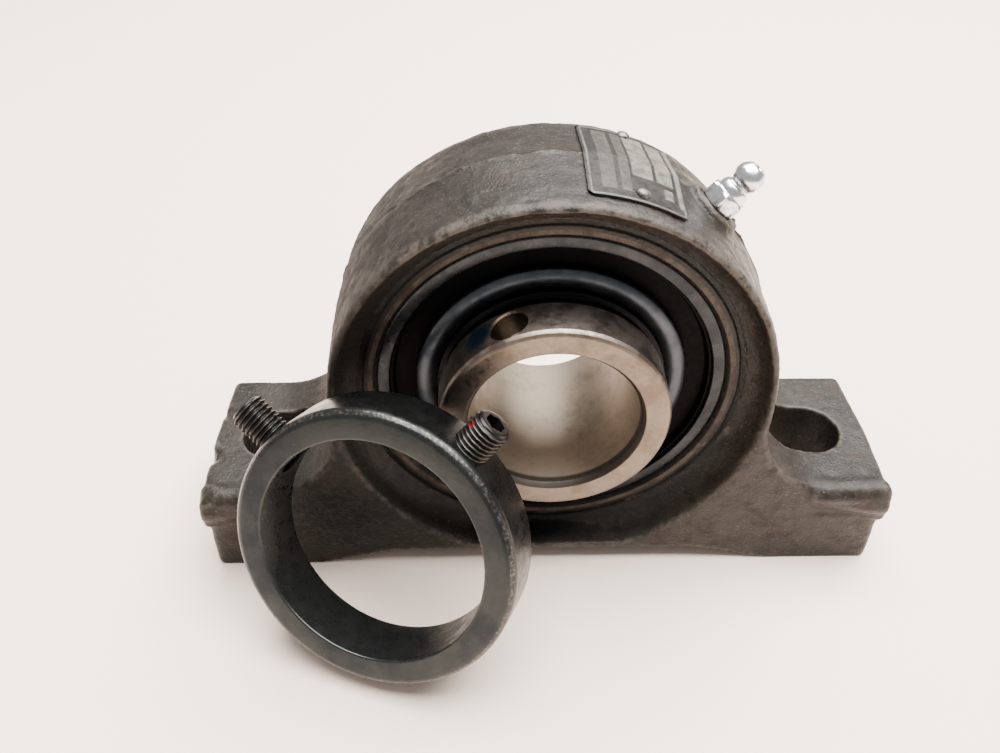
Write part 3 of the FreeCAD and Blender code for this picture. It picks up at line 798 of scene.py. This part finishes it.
# Seals. A black pressed shell with a rubber lip is fixed in each side of the outer ring,
# and a blued flinger pressed on the inner ring turns in front of it.
black = Finish("black_seal", (0.002, 0.002, 0.0024), 0.0, 0.5)
black.shader.inputs["Specular IOR Level"].default_value = 0.03
black.rough(black.between(black.mottle(700, 3), 0.35, 0.65, 0.38, 0.55))
rubber = Finish("seal_rubber", (0.006, 0.006, 0.006), 0.0, 0.6)
rubber.bump(rubber.mottle(1500, 3), 0.00004, 0.5)
blued = Finish("blued_flinger", (0.05, 0.053, 0.06), 0.9, 0.27)
oil = blued.between(blued.mottle(110, 4, 0.6), 0.38, 0.64)
blued.colour(blued.blend(oil, (0.062, 0.072, 0.083), (0.034, 0.043, 0.054)))
blued.rough(blued.between(blued.mottle(500, 3), 0.35, 0.65, 0.34, 0.46))
for end, side in (("front", -1), ("rear", 1)):
    shell = turned(
        end + "_shell",
        [(recess - 0.00002, side * 0.008), (recess - 0.00002, side * 0.0112)]
        + [(0.0347, side * 0.0112), (0.0345, side * 0.0092), (0.0341, side * 0.0088)]
        + [(0.0276, side * 0.0088), (0.0276, side * 0.008)],
    )
    soften(shell, 0.00015)
    stand(shell, on_shaft)
    settle(shell, "outer_ring", [end + "_seal_shell"], black.material)
    dome = []
    for i in range(17):
        share = i / 16
        bulge = 1 - (2 * share - 1) ** 2
        dome.append((0.0251 + 0.0045 * share, side * (0.0103 + 0.0004 * share + 0.001 * bulge)))
    flinger = turned(
        end + "_flinger_pressed",
        [(0.02502, side * 0.0092), (0.02502, side * 0.0102)] + dome
        + [(0.0297, side * 0.0104), (0.0296, side * 0.0096), (0.0292, side * 0.0096)]
        + [(0.0288, side * 0.0099), (0.0276, side * 0.0101)]
        + [(0.0265, side * 0.0097), (0.0261, side * 0.0092)],
    )
    stand(flinger, on_shaft)
    settle(flinger, "inner_ring", [end + "_flinger"], blued.material, 45)
    dress(end + "_seal_lip", rubber.material)


# Collar. A black-oxide steel ring that locks the bearing to the shaft. It is off, stands
# on its rim and leans back against the housing. Its edges are worn to bright metal.
collar_lean = 0.362
collar_turn = -0.351
collar_radius = 0.03105
collar_bore = 0.02472
collar_width = 0.0135
collar_turned = (radians(90) - collar_lean, 0, collar_turn)
collar_place = Vector((-0.03858, -0.045505, 0.033307))
on_collar = Matrix.Translation(collar_place) @ Matrix.Rotation(collar_turn, 4, "Z")
on_collar = on_collar @ Matrix.Rotation(collar_turned[0], 4, "X")
screws = {"left": (146.5, 0.0398), "right": (56.5, 0.0383)}

collar = turned(
    "collar_blacked",
    [(collar_bore, -0.0003), (collar_bore + 0.0003, 0), (collar_radius - 0.0017, 0)]
    + [(collar_radius - 0.0009, -0.0003), (collar_radius - 0.0003, -0.0009)]
    + [(collar_radius, -0.0017), (collar_radius, 0.0015 - collar_width)]
    + [(collar_radius - 0.0015, -collar_width)]
    + [(collar_bore + 0.0003, -collar_width), (collar_bore, 0.0003 - collar_width)],
)
soften(collar, 0.0003, 12)
for angle, tip in screws.values():
    way = Vector((cos(radians(angle)), sin(radians(angle)), 0))
    drill(collar, way * 0.028 + Vector((0, 0, -collar_width / 2)), way, 0.00402, 0.014)
stand(collar, on_collar)

oxide = Finish("black_oxide", (0.03, 0.032, 0.031), 0.8, 0.32)
r, h = oxide.radius_and_height(oxide.moved(collar_place, collar_turned))
tint = oxide.between(oxide.mottle(70, 4, 0.6), 0.4, 0.66)
grain = oxide.mottle(1300, 4, 0.7)
oxide_colour = oxide.blend(tint, (0.025, 0.0285, 0.028), (0.0125, 0.0152, 0.0175))
flecks = oxide.times(oxide.between(grain, 0.63, 0.72), 0.4)
oxide_colour = oxide.blend(flecks, oxide_colour, (0.06, 0.057, 0.054))
# Painted shade: the collar's outer side is coloured darker than its face.
outside = oxide.times(oxide.between(r, collar_radius - 0.0006, collar_radius - 0.0002), 0.5)
oxide_colour = oxide.blend(outside, oxide_colour, (0.0095, 0.0085, 0.0078))
inside = oxide.times(oxide.between(r, collar_bore + 0.0006, collar_bore + 0.0002), 0.6)
oxide_colour = oxide.blend(inside, oxide_colour, (0.045, 0.048, 0.046))
front_edge = oxide.maths("ADD", r, h)
rim_highlight_and_wear = oxide.between(front_edge, collar_radius - 0.00136, collar_radius - 0.00122)
rim_highlight_and_wear = oxide.times(rim_highlight_and_wear, oxide.between(grain, 0.45, 0.62), 0.75)
oxide_colour = oxide.blend(rim_highlight_and_wear, oxide_colour, (0.11, 0.097, 0.085))
oxide.colour(oxide_colour)
oxide.rough(oxide.between(oxide.mottle(350, 4), 0.35, 0.65, 0.25, 0.38))
oxide.bump(oxide.mottle(1600, 3), 0.00005, 0.5)
settle(collar, "housing", ["collar"], oxide.material, 30)


# Set screws. Two 5/16 inch socket screws with a fine thread and a cup point, half out
# of the collar's tapped holes; their crests have worn shiny.
screw_radius = 0.00397
screw_length = 0.0127
thread_pitch = 0.001058
thread_depth = 0.00062
thread_rows = 132
cup_chamfer = 0.0014
head_chamfer = 0.0008
head_steps = (0.0028, 0.0024, 0.0)
cup_steps = (0.0021, 0.0015, 0.0009)
socket_flats = 0.00397
socket_depth = 0.0046
socket_round = 0.0023

crest = Finish("worn_screw_black", (0.02, 0.02, 0.02), 0.75, 0.34)
for side, (angle, tip) in screws.items():
    bpy.ops.mesh.primitive_cylinder_add(
        vertices=72, radius=screw_radius, depth=screw_length, end_fill_type="NOTHING",
        location=(0, 0, screw_length / 2), enter_editmode=True,
    )
    bpy.ops.mesh.select_all(action="SELECT")
    mesh = bmesh.from_edit_mesh(bpy.context.object.data)
    upright = [e for e in mesh.edges if abs(e.verts[0].co.z - e.verts[1].co.z) > 0.01]
    bmesh.ops.subdivide_edges(mesh, edges=upright, cuts=thread_rows - 1, use_grid_fill=True)
    bmesh.update_edit_mesh(bpy.context.object.data)
    bpy.ops.object.mode_set(mode="OBJECT")
    screw = bpy.context.object
    screw.name = "threaded_set_screw_" + side
    bpy.ops.object.transform_apply(location=True, rotation=True, scale=True)
    worn_crest = screw.data.attributes.new("crest", "FLOAT", "POINT")
    for vert in screw.data.vertices:
        turn = atan2(vert.co.y, vert.co.x) / (2 * pi)
        phase = (vert.co.z / thread_pitch - turn) % 1.0
        height = 1 - min(1.0, max(0.0, (abs(phase - 0.5) * 2 - 0.12) / 0.72))
        from_cup = vert.co.z
        from_head = screw_length - vert.co.z
        ends = min(from_cup / cup_chamfer, from_head / head_chamfer, 1.0)
        reach = screw_radius - thread_depth * (1 - height)
        reach = min(reach, screw_radius - cup_chamfer * max(0.0, 1 - from_cup / cup_chamfer))
        reach = min(reach, screw_radius - head_chamfer * max(0.0, 1 - from_head / head_chamfer))
        worn_crest.data[vert.index].value = height * ends
        flat = Vector((vert.co.x, vert.co.y)).normalized() * reach
        vert.co.x, vert.co.y = flat
    only(screw)
    bpy.ops.object.mode_set(mode="EDIT")
    for end, steps in ((screw_length, head_steps), (0.0, cup_steps)):
        pick(lambda p: abs(p.z - end) < 0.000001)
        radius = screw_radius - (head_chamfer if end else cup_chamfer)
        for count, r in enumerate(steps):
            dip = 0.0
            if end and r == 0.0:
                dip = -socket_depth
                r = socket_round
            if not end and count:
                dip = 0.0004
            bpy.ops.mesh.extrude_region_move(TRANSFORM_OT_translate={"value": (0, 0, dip)})
            shrink = r / radius
            bpy.ops.transform.resize(value=(shrink, shrink, 1), center_override=(0, 0, end))
            radius = r
        bpy.ops.mesh.edge_face_add()
    mesh = bmesh.from_edit_mesh(screw.data)
    for vert in mesh.verts:
        reach = hypot(vert.co.x, vert.co.y)
        if vert.co.z > screw_length - socket_depth - 0.0001 and 0.0001 < reach < 0.00245:
            angle_in = atan2(vert.co.y, vert.co.x) % (pi / 3) - pi / 6
            flat = socket_flats / 2 / cos(angle_in)
            vert.co.x *= flat / reach
            vert.co.y *= flat / reach
    bmesh.update_edit_mesh(screw.data)
    bpy.ops.mesh.select_all(action="SELECT")
    bpy.ops.mesh.normals_make_consistent(inside=False)
    bpy.ops.object.mode_set(mode="OBJECT")
    out = Matrix.Translation((0, 0, -collar_width / 2))
    out = out @ Matrix.Rotation(radians(angle), 4, "Z") @ Matrix.Rotation(radians(90), 4, "Y")
    out = out @ Matrix.Translation((0, 0, tip - screw_length))
    stand(screw, on_collar @ out)
    settle(screw, "set_screw_" + side, ["set_screw_" + side], crest.material, 50)

rubbed = crest.nodes.new("ShaderNodeAttribute")
rubbed.attribute_name = "crest"
smear = crest.mottle(900, 4, 0.7)
shine = crest.between(rubbed.outputs["Fac"], 0.7, 1.0)
shine = crest.times(shine, crest.between(smear, 0.3, 0.6))
thread_colour = crest.blend(shine, (0.013, 0.0125, 0.012), (0.075, 0.066, 0.058))
paint = crest.times(crest.near((-0.01736, -0.03679, 0.06112), 0.0011), 0.85)
crest.colour(crest.blend(paint, thread_colour, (0.3, 0.012, 0.01)))
crest.rough(crest.between(smear, 0.35, 0.65, 0.28, 0.42))


# Floor and light. A pale sheet under one large soft light overhead, in a dim pale room.
bpy.ops.mesh.primitive_plane_add(size=14, location=(0, 0, -0.00005))
floor = bpy.context.object
floor.name = "floor"
paper = Finish("pale_paper", (0.9, 0.745, 0.645), 0.0, 0.85)
floor.data.materials.append(paper.material)

bpy.ops.object.light_add(
    type="AREA", location=(0.2, 0.2, 1.0), rotation=(radians(-10), radians(10), 0)
)
overhead = bpy.context.object
overhead.data.size = 1.15
overhead.data.energy = 88
overhead.data.color = (1.0, 0.97, 0.94)
world = bpy.data.worlds.new("soft_room")
world.use_nodes = True
world.node_tree.nodes["Background"].inputs["Color"].default_value = (1.0, 0.975, 0.955, 1)
world.node_tree.nodes["Background"].inputs["Strength"].default_value = 0.6
bpy.context.scene.world = world
